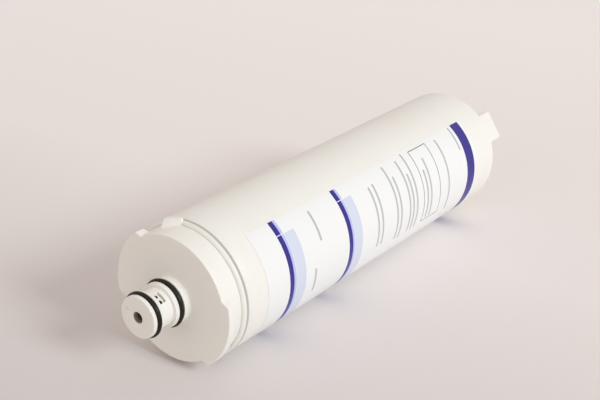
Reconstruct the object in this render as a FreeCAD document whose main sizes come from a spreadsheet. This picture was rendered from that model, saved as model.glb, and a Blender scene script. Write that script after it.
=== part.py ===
"""Fridge water filter cartridge: a moulded housing with a welded head cap, and the filter element sealed inside.

The frame has its origin at the centre of the neck's nose face, +X along the cartridge towards its closed end and
+Z up, with the cartridge lying on its side. Angles round the axis count from +Z towards -Y, in degrees.
"""
import FreeCAD, Part
import math
import os
import re
import Sketcher

SIZES = {
    # Neck, from the nose backwards
    "nose_land": 2.2,
    "nose_chamfer": 0.5,
    "nose_radius": 11.45,
    "groove_width": 3.2,
    "groove_depth": 1.57,
    "neck_ring_section": 2.62,
    "middle_land": 1.5,
    "waist_length": 7.7,
    "waist_radius": 10.3,
    "rear_land": 2.6,
    "rear_land_radius": 12.25,
    "collar_length": 3.85,
    "collar_radius": 12.8,
    # Flow passages of the head
    "outlet_radius": 3.1,
    "outlet_lip": 3.0,
    "passage_radius": 4.3,
    "outlet_tube_wall": 1.1,
    "inlet_radius": 8.2,
    "nose_wall": 7.0,
    "port_angle": 34.0,
    "port_radius": 1.4,
    "port_pitch": 3.9,
    "port_station": 2.9,
    "port_windows": 2,
    "slot_margin": 1.4,
    "slot_length": 4.8,
    "slot_depth": 0.9,
    "slot_span": 58.0,
    # Head plate, skirt and weld flange
    "face_inset": 3.1,
    "face_chamfer": 0.4,
    "plate_thickness": 3.5,
    "side_length": 12.15,
    "side_draft": 1.2,
    "flange_thickness": 1.8,
    "flange_round": 1.1,
    "flange_chamfer": 0.6,
    "skirt_wall": 2.6,
    "register_length": 5.5,
    "weld_clearance": 0.1,
    "web_count": 6,
    "web_thickness": 1.8,
    "web_height": 4.0,
    "web_root": 0.4,
    # Bayonet lobes and key lug
    "lobe_count": 2,
    "lobe_overhang": 0.5,
    "lobe_thickness": 5.0,
    "lobe_run": 9.0,
    "lobe_angle": 74.0,
    "lobe_rise": 9.5,
    "lobe_span": 59.5,
    "lobe_fall": 4.0,
    "lug_angle": -18.0,
    "lug_span": 14.0,
    "lug_overhang": 1.8,
    "lug_lead": 7.3,
    "lug_crest_lead": 2.4,
    "lug_tail": 0.8,
    "lug_setback": 0.6,
    # Socket for the filter element
    "inlet_gap": 2.8,
    "socket_floor": 2.4,
    "socket_depth": 9.5,
    "socket_radius": 7.0,
    "socket_wall": 2.2,
    # Housing
    "body_radius": 38.0,
    "body_wall": 3.0,
    "mouth_chamfer": 1.0,
    "corner_radius": 4.0,
    "crown_radius": 147.0,
    "rib_count": 4,
    "rib_angle": 100.0,
    "rib_length": 9.35,
    "rib_reach": 6.6,
    "rib_thickness": 2.0,
    "rib_root": 0.5,
    # Grip bar on the closed end
    "bar_angle": 57.0,
    "bar_length": 68.5,
    "bar_width": 20.2,
    "bar_height": 10.3,
    "bar_sink": 6.2,
    "bar_corner": 2.5,
    "bar_round": 1.4,
    "bar_wall": 2.8,
    # Label film
    "label_angle": 36.75,
    "label_span": 230.0,
    "label_thickness": 0.1,
    "label_glue": 0.06,
    "label_head_margin": 17.3,
    "label_end_margin": 19.0,
    # Filter element
    "spigot_gap": 1.0,
    "spigot_clearance": 0.15,
    "spigot_ring_land": 2.0,
    "spigot_groove_width": 2.6,
    "spigot_ring_section": 2.0,
    "boss_radius": 10.5,
    "boss_length": 3.0,
    "cap_thickness": 2.5,
    "cap_skirt": 7.0,
    "cap_skirt_wall": 1.8,
    "cap_clearance": 0.25,
    "fin_count": 4,
    "fin_thickness": 2.0,
    "fin_clearance": 0.3,
    "glue_thickness": 1.0,
    "block_length": 228.3,
    "block_radius": 26.0,
    "block_bore": 6.5,
    "sleeve_clearance": 0.05,
    "core_wall": 1.4,
    "core_hole_radius": 1.3,
    "core_hole_rows": 12,
    "core_hole_margin": 10.0,
    "wrap_thickness": 1.0,
    "net_strand": 0.6,
    "net_bite": 0.15,
    "net_rings": 9,
    "net_strands": 12,
}

# Stations along the axis, each from the lengths before it
FRONT_GROOVE = "nose_land"
FRONT_GROOVE_END = f"{FRONT_GROOVE} + groove_width"
WAIST = f"{FRONT_GROOVE_END} + middle_land"
WAIST_END = f"{WAIST} + waist_length"
REAR_GROOVE = f"{WAIST_END} + rear_land"
REAR_GROOVE_END = f"{REAR_GROOVE} + groove_width"
FACE = f"{REAR_GROOVE_END} + collar_length"
PLATE_BACK = f"{FACE} + plate_thickness"
SOCKET = f"{PLATE_BACK} + inlet_gap"
SOCKET_FLOOR = f"{SOCKET} + socket_floor"
SOCKET_END = f"{SOCKET_FLOOR} + socket_depth"
FLANGE = f"{FACE} + side_length"
MOUTH = f"{FLANGE} + flange_thickness"
SPIGOT_TIP = f"{SOCKET_FLOOR} + spigot_gap"
SPIGOT_GROOVE = f"{SPIGOT_TIP} + spigot_ring_land"
SPIGOT_GROOVE_END = f"{SPIGOT_GROOVE} + spigot_groove_width"
OUTLET_CAP = f"{SOCKET_END} + boss_length"
OUTLET_GLUE = f"{OUTLET_CAP} + cap_thickness"
BLOCK = f"{OUTLET_GLUE} + glue_thickness"
BLOCK_END = f"{BLOCK} + block_length"
CLOSED_CAP = f"{BLOCK_END} + glue_thickness"
SEAT = f"{CLOSED_CAP} + cap_thickness"
SHOULDER = f"{SEAT} + rib_length"
CROWN_RISE = "sqrt((crown_radius - corner_radius)^2 - (body_radius - corner_radius)^2)"
CROWN_CENTRE = f"{SHOULDER} - {CROWN_RISE}"
BODY_END = f"{CROWN_CENTRE} + crown_radius"
BAR_ROOT = f"{BODY_END} - bar_sink"
BAR_END = f"{BODY_END} + bar_height"

# Radii that follow from a fit
FRONT_GROOVE_FLOOR = "nose_radius - groove_depth"
REAR_GROOVE_FLOOR = "rear_land_radius - groove_depth"
OUTLET_TUBE = "passage_radius + outlet_tube_wall"
FACE_RADIUS = "body_radius - face_inset"
FLANGE_ROOT = f"{FACE_RADIUS} + side_draft"
LOBE_RADIUS = "body_radius + lobe_overhang"
LUG_RADIUS = "body_radius + lug_overhang"
BORE = "body_radius - body_wall"
REGISTER = f"{BORE} - weld_clearance"
SKIRT = f"{REGISTER} - skirt_wall"
SOCKET_OUTER = "socket_radius + socket_wall"
SPIGOT = "socket_radius - spigot_clearance"
CORE = "block_bore - sleeve_clearance"
WRAP = "block_radius + sleeve_clearance"
WRAP_OUTER = f"{WRAP} + wrap_thickness"
NET = f"{WRAP_OUTER} + sleeve_clearance"
NET_LAP = f"{NET} + net_strand - net_bite"
NET_OUTER = f"{NET_LAP} + net_strand"
CAP_SKIRT = f"{NET_OUTER} + cap_clearance"
CAP_RADIUS = f"{CAP_SKIRT} + cap_skirt_wall"

doc = FreeCAD.newDocument("filter_cartridge")
sheet = doc.addObject("Spreadsheet::Sheet", "sizes")
for row, (alias, number) in enumerate(SIZES.items(), start=1):
    sheet.set(f"A{row}", alias)
    sheet.set(f"B{row}", str(number))
    sheet.setAlias(f"B{row}", alias)
doc.recompute()


def bound(text):
    """Expression with each size name pointing at the sheet."""
    return re.sub(r"[a-z_]+", lambda word: f"sizes.{word[0]}" if word[0] in SIZES else word[0], text)


def value(text):
    """Number that an expression in size names comes to."""
    return float(sheet.evalExpression(bound(text)))


def new_body(label):
    body = doc.addObject("PartDesign::Body", label)
    body.Label = label
    return body


def sketch_on(body, name, role):
    """Empty sketch on one of the body's own origin planes."""
    sketch = body.newObject("Sketcher::SketchObject", name)
    plane = next(feature for feature in body.Origin.OriginFeatures if feature.Role == role)
    sketch.AttachmentSupport = (plane, [""])
    sketch.MapMode = "FlatFace"
    return sketch


def meridian_sketch(body, name, angle=None):
    """Sketch in a plane through the axis, x along the axis and y outwards at an angle round it."""
    sketch = sketch_on(body, name, "XZ_Plane")
    if angle:
        turn = FreeCAD.Rotation(FreeCAD.Vector(1, 0, 0), value(angle))
        sketch.AttachmentOffset = FreeCAD.Placement(FreeCAD.Vector(), turn)
        sketch.setExpression("AttachmentOffset.Rotation.Angle", bound(angle))
    return sketch


def cross_sketch(body, name, station, angle=None):
    """Sketch square to the axis at a station, turned so that its y axis points at an angle."""
    sketch = sketch_on(body, name, "YZ_Plane")
    sketch.setExpression("AttachmentOffset.Base.z", bound(station))
    if angle:
        sketch.setExpression("AttachmentOffset.Rotation.Angle", bound(angle))
    return sketch


def drive(sketch, kind, *where_and_size):
    """Dimension whose size is bound to an expression."""
    *where, size = where_and_size
    index = sketch.addConstraint(Sketcher.Constraint(kind, *where, value(size)))
    sketch.setExpression(f"Constraints[{index}]", bound(size))


def arc_between(start, end, radius, turn):
    """Minor arc of a radius between two points; turn is 1 for counter-clockwise, -1 for clockwise."""
    chord = end - start
    middle = (start + end) * 0.5
    side = FreeCAD.Vector(-chord.y, chord.x, 0).normalize() * turn
    centre = middle + side * math.sqrt(max(radius**2 - chord.Length**2 / 4, 0))
    first, last = (start, end) if turn > 0 else (end, start)
    angles = [math.atan2(point.y - centre.y, point.x - centre.x) for point in (first, last)]
    return Part.ArcOfCircle(Part.Circle(centre, FreeCAD.Vector(0, 0, 1), radius), *angles)


def outline(sketch, corners):
    """Closed outline through corners (x, y), or (x, y, radius, turn) where an arc leads to the next corner."""
    points = [FreeCAD.Vector(value(corner[0]), value(corner[1]), 0) for corner in corners]
    ends = []
    for index, corner in enumerate(corners):
        start, end = points[index], points[(index + 1) % len(points)]
        if len(corner) == 2:
            edge = sketch.addGeometry(Part.LineSegment(start, end))
            ends.append((edge, 1, 2))
        else:
            edge = sketch.addGeometry(arc_between(start, end, value(corner[2]), corner[3]))
            ends.append((edge, 1, 2) if corner[3] > 0 else (edge, 2, 1))
    for index, (edge, start, end) in enumerate(ends):
        following, following_start, _ = ends[(index + 1) % len(ends)]
        sketch.addConstraint(Sketcher.Constraint("Coincident", edge, end, following, following_start))
    for (edge, start, _), corner in zip(ends, corners):
        drive(sketch, "DistanceX", -1, 1, edge, start, corner[0])
        drive(sketch, "DistanceY", -1, 1, edge, start, corner[1])
        if len(corner) > 2:
            drive(sketch, "Radius", edge, corner[2])


def circles(sketch, places):
    """Circles (x, y, radius) in a sketch."""
    for x, y, radius in places:
        centre = FreeCAD.Vector(value(x), value(y), 0)
        ring = sketch.addGeometry(Part.Circle(centre, FreeCAD.Vector(0, 0, 1), value(radius)))
        drive(sketch, "DistanceX", -1, 1, ring, 3, x)
        drive(sketch, "DistanceY", -1, 1, ring, 3, y)
        drive(sketch, "Radius", ring, radius)


def revolve(body, name, sketch, kind="PartDesign::Revolution", span=None):
    """Turn a meridian outline round the axis, whole or through a span centred on its plane."""
    feature = body.newObject(kind, name)
    feature.Profile = sketch
    feature.ReferenceAxis = (sketch, ["H_Axis"])
    if span:
        feature.Midplane = True
        feature.setExpression("Angle", bound(span))
    return feature


def extrude(body, name, sketch, length, kind="PartDesign::Pad", both_sides=False, reverse=False):
    feature = body.newObject(kind, name)
    feature.Profile = sketch
    feature.setExpression("Length", bound(length))
    feature.Midplane = both_sides
    feature.Reversed = reverse
    return feature


def around(body, name, features, count):
    """Copies of features, evenly spaced round the axis."""
    pattern = body.newObject("PartDesign::PolarPattern", name)
    pattern.Originals = features
    pattern.Axis = (axis_of(body), [""])
    pattern.setExpression("Occurrences", bound(count))
    body.Tip = pattern
    return pattern


def along(body, name, features, count, length):
    """Copies of features, evenly spaced along the axis over a length."""
    pattern = body.newObject("PartDesign::LinearPattern", name)
    pattern.Originals = features
    pattern.Direction = (axis_of(body), [""])
    pattern.setExpression("Length", bound(length))
    pattern.setExpression("Occurrences", bound(count))
    body.Tip = pattern
    return pattern


def axis_of(body):
    return next(feature for feature in body.Origin.OriginFeatures if feature.Role == "X_Axis")


def polar(radius, angle):
    """Sketch coordinates, square to the axis, of a radius at an angle from +Z towards -Y."""
    return f"-({radius}) * sin({angle})", f"({radius}) * cos({angle})"


def sleeve(label, inner, outer, station, length):
    """Plain tube between two radii."""
    body = new_body(label)
    sketch = cross_sketch(body, label + "_section", station)
    circles(sketch, [("0", "0", inner), ("0", "0", outer)])
    extrude(body, label + "_tube", sketch, length)
    return body


def seal_ring(label, floor, section, station):
    """Rubber ring of round section that sits on a groove floor."""
    ring = doc.addObject("Part::Torus", label)
    ring.Label = label
    ring.setExpression("Radius1", bound(f"{floor} + {section} / 2"))
    ring.setExpression("Radius2", bound(f"{section} / 2"))
    ring.Placement = FreeCAD.Placement(FreeCAD.Vector(), FreeCAD.Rotation(FreeCAD.Vector(0, 1, 0), 90))
    ring.setExpression("Placement.Base.x", bound(station))
    return ring


def make_head_cap():
    """Neck, plate, skirt, flange and element socket turned as one section, then lobes, lug, ports and webs."""
    body = new_body("head_cap")
    section = meridian_sketch(body, "head_section")
    outline(section, [
        ("0", "outlet_radius"),
        ("0", "nose_radius - nose_chamfer"),
        ("nose_chamfer", "nose_radius"),
        (FRONT_GROOVE, "nose_radius"),
        (FRONT_GROOVE, FRONT_GROOVE_FLOOR),
        (FRONT_GROOVE_END, FRONT_GROOVE_FLOOR),
        (FRONT_GROOVE_END, "nose_radius"),
        (WAIST, "nose_radius"),
        (WAIST, "waist_radius"),
        (WAIST_END, "waist_radius"),
        (WAIST_END, "rear_land_radius"),
        (REAR_GROOVE, "rear_land_radius"),
        (REAR_GROOVE, REAR_GROOVE_FLOOR),
        (REAR_GROOVE_END, REAR_GROOVE_FLOOR),
        (REAR_GROOVE_END, "collar_radius"),
        (FACE, "collar_radius"),
        (FACE, f"{FACE_RADIUS} - face_chamfer"),
        (f"{FACE} + face_chamfer", FACE_RADIUS),
        (FLANGE, FLANGE_ROOT),
        (FLANGE, "body_radius - flange_round", "flange_round", -1),
        (f"{FLANGE} + flange_round", "body_radius"),
        (f"{MOUTH} - flange_chamfer", "body_radius"),
        (MOUTH, "body_radius - flange_chamfer"),
        (MOUTH, REGISTER),
        (f"{MOUTH} + register_length", REGISTER),
        (f"{MOUTH} + register_length", SKIRT),
        (PLATE_BACK, SKIRT),
        (PLATE_BACK, "inlet_radius"),
        ("nose_wall", "inlet_radius"),
        ("nose_wall", OUTLET_TUBE),
        (SOCKET, OUTLET_TUBE),
        (SOCKET, SOCKET_OUTER),
        (SOCKET_END, SOCKET_OUTER),
        (SOCKET_END, "socket_radius"),
        (SOCKET_FLOOR, "socket_radius"),
        (SOCKET_FLOOR, "passage_radius"),
        ("outlet_lip", "passage_radius"),
        ("outlet_lip", "outlet_radius"),
    ])
    revolve(body, "head_turning", section)

    lobe = cross_sketch(body, "lobe_outline", FACE)
    foot = f"{FACE_RADIUS} - web_root"
    crest = "lobe_angle + lobe_rise"
    outline(lobe, [
        polar(foot, "lobe_angle"),
        (*polar(LOBE_RADIUS, crest), LOBE_RADIUS, 1),
        polar(LOBE_RADIUS, f"{crest} + lobe_span"),
        (*polar(foot, f"{crest} + lobe_span + lobe_fall"), foot, -1),
    ])
    first_lobe = extrude(body, "lobe", lobe, "lobe_run")
    around(body, "lobes", [first_lobe], "lobe_count")
    back = meridian_sketch(body, "lobe_back_section")
    outline(back, [
        (f"{FACE} + lobe_thickness", LOBE_RADIUS),
        (f"{FACE} + lobe_run", FLANGE_ROOT),
        (f"{FACE} + lobe_run", f"{LOBE_RADIUS} + web_root"),
        (f"{FACE} + lobe_thickness", f"{LOBE_RADIUS} + web_root"),
    ])
    revolve(body, "lobe_backs", back, "PartDesign::Groove")

    ends = []
    for name, angle, toe, rim in (
        ("high", "lug_angle", "- lug_lead", "- lug_crest_lead"),
        ("low", "lug_angle + lug_span", "- lug_tail", "+ lug_setback"),
    ):
        end = meridian_sketch(body, f"lug_{name}_end", angle)
        outline(end, [
            (f"{FLANGE} {toe}", foot),
            (f"{FLANGE} {rim}", LUG_RADIUS),
            (MOUTH, LUG_RADIUS),
            (MOUTH, foot),
        ])
        ends.append(end)
    lug = body.newObject("PartDesign::AdditiveLoft", "key_lug")
    lug.Profile = ends[0]
    lug.Sections = [ends[1]]
    lug.Ruled = True

    slot = meridian_sketch(body, "slot_section", "port_angle")
    outline(slot, [
        (f"{WAIST} + slot_margin", "waist_radius - slot_depth"),
        (f"{WAIST} + slot_margin + slot_length", "waist_radius - slot_depth"),
        (f"{WAIST} + slot_margin + slot_length", "nose_radius"),
        (f"{WAIST} + slot_margin", "nose_radius"),
    ])
    window = revolve(body, "slot", slot, "PartDesign::Groove", "slot_span")
    ports = sketch_on(body, "port_circles", "XY_Plane")
    turn = FreeCAD.Rotation(FreeCAD.Vector(1, 0, 0), value("port_angle"))
    ports.AttachmentOffset = FreeCAD.Placement(FreeCAD.Vector(), turn)
    ports.setExpression("AttachmentOffset.Rotation.Angle", bound("port_angle"))
    ports.setExpression("AttachmentOffset.Base.y", bound("-nose_radius * sin(port_angle)"))
    ports.setExpression("AttachmentOffset.Base.z", bound("nose_radius * cos(port_angle)"))
    station = f"{WAIST} + port_station"
    circles(ports, [(station, "-port_pitch / 2", "port_radius"), (station, "port_pitch / 2", "port_radius")])
    depth = f"nose_radius - (inlet_radius + {OUTLET_TUBE}) / 2"
    holes = extrude(body, "ports", ports, depth, "PartDesign::Pocket")
    around(body, "port_windows", [window, holes], "port_windows")

    web = meridian_sketch(body, "web_outline")
    outline(web, [
        (f"{PLATE_BACK} - web_root", f"{OUTLET_TUBE} - web_root"),
        (f"{PLATE_BACK} - web_root", f"{SKIRT} + web_root"),
        (f"{PLATE_BACK} + web_height", f"{SKIRT} + web_root"),
        (f"{SOCKET} + web_height", f"{SOCKET_OUTER} - web_root"),
        (f"{SOCKET} + web_root", f"{SOCKET_OUTER} - web_root"),
        (f"{SOCKET} + web_root", f"{OUTLET_TUBE} - web_root"),
    ])
    first_web = extrude(body, "web", web, "web_thickness", both_sides=True)
    around(body, "webs", [first_web], "web_count")
    return body


def make_housing():
    """Tube with a rounded closed end, seat ribs inside and a hollow grip bar across the end."""
    body = new_body("housing")
    section = meridian_sketch(body, "housing_section")
    outer_run = "crown_radius / (crown_radius - corner_radius)"
    inner_run = "(crown_radius - body_wall) / (crown_radius - corner_radius)"
    tangent = "(body_radius - corner_radius)"
    outline(section, [
        (MOUTH, BORE),
        (MOUTH, "body_radius - mouth_chamfer"),
        (f"{MOUTH} + mouth_chamfer", "body_radius"),
        (SHOULDER, "body_radius", "corner_radius", -1),
        (f"{CROWN_CENTRE} + {CROWN_RISE} * {outer_run}", f"{tangent} * {outer_run}", "crown_radius", -1),
        (BODY_END, "0"),
        (f"{BODY_END} - body_wall", "0", "crown_radius - body_wall", 1),
        (f"{CROWN_CENTRE} + {CROWN_RISE} * {inner_run}", f"{tangent} * {inner_run}", "corner_radius - body_wall", 1),
        (SHOULDER, BORE),
    ])
    revolve(body, "housing_turning", section)

    rib = meridian_sketch(body, "rib_outline", "rib_angle")
    outline(rib, [
        (SEAT, f"{BORE} - rib_reach"),
        (SEAT, f"{BORE} + rib_root"),
        (f"{SHOULDER} + body_wall", f"{BORE} + rib_root"),
        (f"{SHOULDER} + body_wall", f"{BORE} - rib_reach"),
    ])
    first_rib = extrude(body, "seat_rib", rib, "rib_thickness", both_sides=True)
    around(body, "seat_ribs", [first_rib], "rib_count")

    bar = cross_sketch(body, "bar_outline", BAR_ROOT, "bar_angle")
    rounded_bar(bar, "0")
    extrude(body, "grip_bar", bar, f"{BAR_END} - ({BAR_ROOT})")
    hollow = cross_sketch(body, "bar_hollow_outline", SHOULDER, "bar_angle")
    rounded_bar(hollow, "bar_wall")
    extrude(body, "bar_hollow", hollow, f"{BAR_END} - bar_wall - ({SHOULDER})", "PartDesign::Pocket", reverse=True)
    doc.recompute()
    end_edges = [
        f"Edge{number}"
        for number, edge in enumerate(body.Shape.Edges, start=1)
        if all(abs(vertex.X - value(BAR_END)) < 1e-6 for vertex in edge.Vertexes)
    ]
    hollowed = body.Tip
    rounding = body.newObject("PartDesign::Fillet", "bar_rounding")
    rounding.Base = (hollowed, end_edges)
    rounding.setExpression("Radius", bound("bar_round"))
    return body


def rounded_bar(sketch, inset):
    """Rounded rectangle of the grip bar, long way along y, drawn in by an inset on all sides."""
    across = f"(bar_width / 2 - {inset})"
    reach = f"(bar_length / 2 - {inset})"
    outline(sketch, [
        (f"-{across}", f"-{reach} + bar_corner", "bar_corner", 1),
        (f"-{across} + bar_corner", f"-{reach}"),
        (f"{across} - bar_corner", f"-{reach}", "bar_corner", 1),
        (across, f"-{reach} + bar_corner"),
        (across, f"{reach} - bar_corner", "bar_corner", 1),
        (f"{across} - bar_corner", reach),
        (f"-{across} + bar_corner", reach, "bar_corner", 1),
        (f"-{across}", f"{reach} - bar_corner"),
    ])


def make_label_film():
    """Film on a thin glue line, from its upper edge round the near side of the housing and underneath."""
    body = new_body("label_film")
    section = meridian_sketch(body, "label_section", "label_angle + label_span / 2")
    start = f"{MOUTH} + label_head_margin"
    end = f"{SHOULDER} - label_end_margin"
    inner = "body_radius + label_glue"
    outline(section, [
        (start, inner),
        (start, f"{inner} + label_thickness"),
        (end, f"{inner} + label_thickness"),
        (end, inner),
    ])
    revolve(body, "label_wrap", section, span="label_span")
    return body


def make_core_tube():
    """Tube in the block's bore, drilled across in two directions row after row."""
    body = sleeve("core_tube", f"{CORE} - core_wall", CORE, OUTLET_GLUE, "block_length + 2 * glue_thickness")
    for name, role in (("upright", "XY_Plane"), ("level", "XZ_Plane")):
        sketch = sketch_on(body, f"{name}_hole", role)
        circles(sketch, [(f"{BLOCK} + core_hole_margin", "0", "core_hole_radius")])
        hole = extrude(body, f"{name}_drilling", sketch, f"3 * ({CORE})", "PartDesign::Pocket", both_sides=True)
        along(body, f"{name}_holes", [hole], "core_hole_rows", "block_length - 2 * core_hole_margin")
    return body


def make_outer_net():
    """Rings with lengthwise strands laid over them, let in where they cross and ending in the outermost rings."""
    ring_radius = f"{NET} + net_strand"
    body = sleeve("outer_net", NET, ring_radius, BLOCK, "net_strand")
    half = "net_strand / 2"
    strand = cross_sketch(body, "strand_section", f"{BLOCK} + {half}")
    outline(strand, [
        (f"-{half}", NET_LAP),
        (half, NET_LAP),
        (half, NET_OUTER),
        (f"-{half}", NET_OUTER),
    ])
    first_strand = extrude(body, "strand", strand, "block_length - net_strand")
    around(body, "strands", [first_strand], "net_strands")

    pitch = "(block_length - net_strand) / (net_rings - 1)"
    ring = cross_sketch(body, "ring_section", f"{BLOCK} + {pitch}")
    circles(ring, [("0", "0", NET), ("0", "0", ring_radius)])
    second_ring = extrude(body, "ring", ring, "net_strand")
    along(body, "rings", [second_ring], "net_rings - 1", f"{pitch} * (net_rings - 2)")
    return body


def make_outlet_end_cap():
    """Cap with a skirt over the element and a spigot with a seal groove for the head's socket."""
    body = new_body("outlet_end_cap")
    section = meridian_sketch(body, "outlet_cap_section")
    floor = "socket_radius - spigot_ring_section"
    outline(section, [
        (SPIGOT_TIP, "outlet_radius"),
        (SPIGOT_TIP, SPIGOT),
        (SPIGOT_GROOVE, SPIGOT),
        (SPIGOT_GROOVE, floor),
        (SPIGOT_GROOVE_END, floor),
        (SPIGOT_GROOVE_END, SPIGOT),
        (SOCKET_END, SPIGOT),
        (SOCKET_END, "boss_radius"),
        (OUTLET_CAP, "boss_radius"),
        (OUTLET_CAP, CAP_RADIUS),
        (f"{OUTLET_GLUE} + cap_skirt", CAP_RADIUS),
        (f"{OUTLET_GLUE} + cap_skirt", CAP_SKIRT),
        (OUTLET_GLUE, CAP_SKIRT),
        (OUTLET_GLUE, "outlet_radius"),
    ])
    revolve(body, "outlet_cap_turning", section)
    return body


def make_closed_end_cap():
    """Blind cap on the element, with fins that centre it in the housing."""
    body = new_body("closed_end_cap")
    section = meridian_sketch(body, "closed_cap_section")
    outline(section, [
        (SEAT, "0"),
        (CLOSED_CAP, "0"),
        (CLOSED_CAP, CAP_SKIRT),
        (f"{CLOSED_CAP} - cap_skirt", CAP_SKIRT),
        (f"{CLOSED_CAP} - cap_skirt", CAP_RADIUS),
        (SEAT, CAP_RADIUS),
    ])
    revolve(body, "closed_cap_turning", section)
    fin = meridian_sketch(body, "fin_outline", "rib_angle")
    inner = f"{CAP_RADIUS} - cap_skirt_wall / 2"
    outer = f"{BORE} - fin_clearance"
    outline(fin, [
        (f"{CLOSED_CAP} - cap_skirt", inner),
        (f"{CLOSED_CAP} - cap_skirt", CAP_RADIUS),
        (CLOSED_CAP, outer),
        (SEAT, outer),
        (SEAT, inner),
    ])
    first_fin = extrude(body, "fin", fin, "fin_thickness", both_sides=True)
    around(body, "fins", [first_fin], "fin_count")
    return body


sub_parts = [
    make_housing(),
    make_head_cap(),
    seal_ring("front_neck_o_ring", FRONT_GROOVE_FLOOR, "neck_ring_section", f"{FRONT_GROOVE} + groove_width / 2"),
    seal_ring("rear_neck_o_ring", REAR_GROOVE_FLOOR, "neck_ring_section", f"{REAR_GROOVE} + groove_width / 2"),
    make_label_film(),
    sleeve("carbon_block", "block_bore", "block_radius", BLOCK, "block_length"),
    make_core_tube(),
    sleeve("prefilter_wrap", WRAP, WRAP_OUTER, BLOCK, "block_length"),
    make_outer_net(),
    make_outlet_end_cap(),
    seal_ring(
        "spigot_o_ring",
        "socket_radius - spigot_ring_section",
        "spigot_ring_section",
        f"{SPIGOT_GROOVE} + spigot_groove_width / 2",
    ),
    make_closed_end_cap(),
    sleeve("outlet_glue_ring", "block_bore", "block_radius", OUTLET_GLUE, "glue_thickness"),
    sleeve("closed_glue_ring", "block_bore", "block_radius", BLOCK_END, "glue_thickness"),
]
doc.recompute()

for item in doc.Objects:
    if {"Invalid", "Error"} & set(item.State):
        raise RuntimeError(f"{item.Name} failed: {item.getStatusString()}")
for sub_part in sub_parts:
    shape = sub_part.Shape
    if shape.isNull() or not shape.isValid() or len(shape.Solids) != 1:
        raise RuntimeError(f"{sub_part.Label} isn't one valid solid")

os.makedirs("parts", exist_ok=True)
for sub_part in sub_parts:
    sub_part.Shape.exportStep(f"parts/{sub_part.Label}.step")
    box = sub_part.Shape.BoundBox
    print(f"{sub_part.Label}: {sub_part.Shape.Volume:.1f} mm3, x {box.XMin:.2f} to {box.XMax:.2f}")
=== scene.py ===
"""Looks of the water filter cartridge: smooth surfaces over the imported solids, their finishes and the view.

Lengths are in millimetres until a piece is made, and angles round the axis count from +Z towards -Y, in degrees.
"""
import math

import bpy
import numpy as np
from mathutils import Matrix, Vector


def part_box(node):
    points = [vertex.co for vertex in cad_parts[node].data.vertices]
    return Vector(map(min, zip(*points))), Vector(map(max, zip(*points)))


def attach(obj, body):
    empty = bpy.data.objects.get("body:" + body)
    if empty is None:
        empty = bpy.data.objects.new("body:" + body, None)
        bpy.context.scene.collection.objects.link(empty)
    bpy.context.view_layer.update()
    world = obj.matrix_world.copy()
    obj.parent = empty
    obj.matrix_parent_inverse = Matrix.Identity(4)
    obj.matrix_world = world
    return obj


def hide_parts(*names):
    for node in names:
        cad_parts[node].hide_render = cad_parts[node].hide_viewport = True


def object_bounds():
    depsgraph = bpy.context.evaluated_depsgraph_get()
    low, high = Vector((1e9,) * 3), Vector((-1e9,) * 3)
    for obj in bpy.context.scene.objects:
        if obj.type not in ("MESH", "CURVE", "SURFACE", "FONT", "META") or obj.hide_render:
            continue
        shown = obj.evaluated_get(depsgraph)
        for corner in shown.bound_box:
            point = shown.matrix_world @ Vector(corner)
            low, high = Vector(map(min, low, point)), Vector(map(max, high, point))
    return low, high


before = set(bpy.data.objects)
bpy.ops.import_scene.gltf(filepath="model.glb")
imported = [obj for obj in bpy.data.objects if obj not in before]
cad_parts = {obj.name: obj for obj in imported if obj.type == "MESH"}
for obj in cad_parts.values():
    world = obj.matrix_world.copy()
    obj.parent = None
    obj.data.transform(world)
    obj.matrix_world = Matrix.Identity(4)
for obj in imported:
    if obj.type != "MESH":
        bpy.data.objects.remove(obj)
cad_low, cad_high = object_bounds()

MM = 0.001
QUARTER = math.pi / 2
HALF_TURN, FULL_TURN = 180.0, 360.0


def box_mm(node):
    """Lowest and highest corner of a CAD node, in millimetres."""
    low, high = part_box(node)
    return np.array(low) / MM, np.array(high) / MM


# Housing and its closed end
HOUSING_LOW, HOUSING_HIGH = box_mm("housing")
MOUTH = HOUSING_LOW[0]
BAR_END = HOUSING_HIGH[0]
BODY_RADIUS = HOUSING_HIGH[1]
BODY_WALL = 3.0
MOUTH_CHAMFER = 1.7
CORNER_RADIUS = 4.0
CROWN_RADIUS = 147.0

# Grip bar across the closed end; its foot starts below the surface
BAR_HEIGHT = 10.3
BAR_ANGLE = 57.0
BAR_LENGTH = 68.5
BAR_WIDTH = 20.2
BAR_CORNER = 2.5
BAR_ROUND = 1.4
BAR_FILLET = 1.0
BAR_SINK = 2.0

# Circles of the closed end's profile
BODY_END = BAR_END - BAR_HEIGHT
CROWN_CENTRE = BODY_END - CROWN_RADIUS
CORNER_RING = BODY_RADIUS - CORNER_RADIUS
CROWN_ANGLE = math.asin(CORNER_RING / (CROWN_RADIUS - CORNER_RADIUS))
CROWN_EDGE = CROWN_RADIUS * math.sin(CROWN_ANGLE)
SHOULDER = CROWN_CENTRE + (CROWN_RADIUS - CORNER_RADIUS) * math.cos(CROWN_ANGLE)

# Label film
LABEL_LOW, LABEL_HIGH = box_mm("label_film")
LABEL_RADIUS = -max(LABEL_LOW[1], LABEL_LOW[2])
LABEL_THICKNESS = 0.1
LABEL_START, LABEL_SPAN = 36.75, 230.0
LABEL_END = LABEL_START + LABEL_SPAN

# Neck of the head cap, from the nose backwards
NOSE_RADIUS = 11.45
NOSE_FLAT = 8.6
OUTLET_RADIUS, OUTLET_LIP, PASSAGE_RADIUS = 3.1, 3.0, 4.3
LIP_ROUND, LIP_MIDDLE = 0.25, 0.07
FRONT_GROOVE = (2.2, 5.4)
REAR_GROOVE = (17.2, 20.4)
GROOVE_DEPTH = 1.57
WAIST = (6.9, 14.6)
WAIST_RADIUS = 10.3
WAIST_MARGIN = 0.5
REAR_LAND_RADIUS = 12.25
COLLAR_RADIUS = 12.8

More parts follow.
